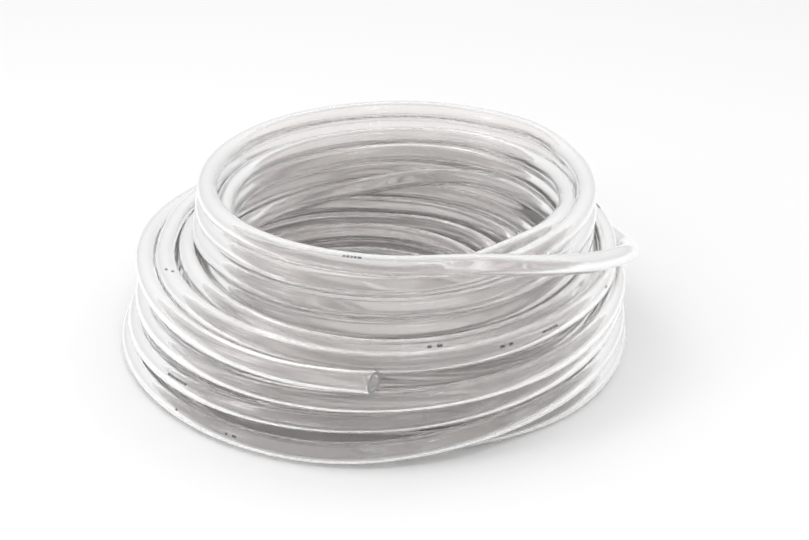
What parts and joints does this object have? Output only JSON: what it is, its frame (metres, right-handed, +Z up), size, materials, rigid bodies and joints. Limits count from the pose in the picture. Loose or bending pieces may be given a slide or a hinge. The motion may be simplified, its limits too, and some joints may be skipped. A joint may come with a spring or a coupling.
{
  "type": "coiled polyurethane hose",
  "caption": "Roll of clear smooth polyurethane hose lying flat, a narrow group of turns on a wider flared one, with a slack turn at the side and an open cut end.",
  "frame": {"origin": "middle of the bounding box, on the floor that the roll lies on", "axes": "+Z up along the roll's bore, +X towards the slack turn, -Y towards the cut end"},
  "size_m": [0.3236, 0.3214, 0.104],
  "materials": {
    "hose": "clear and glossy, smooth inside and out"
  },
  "bodies": {
    "root": {"hose_coil": "hose", "hose_slack_turn": "hose", "hose_cut_end": "hose"}
  },
  "joints": []
}
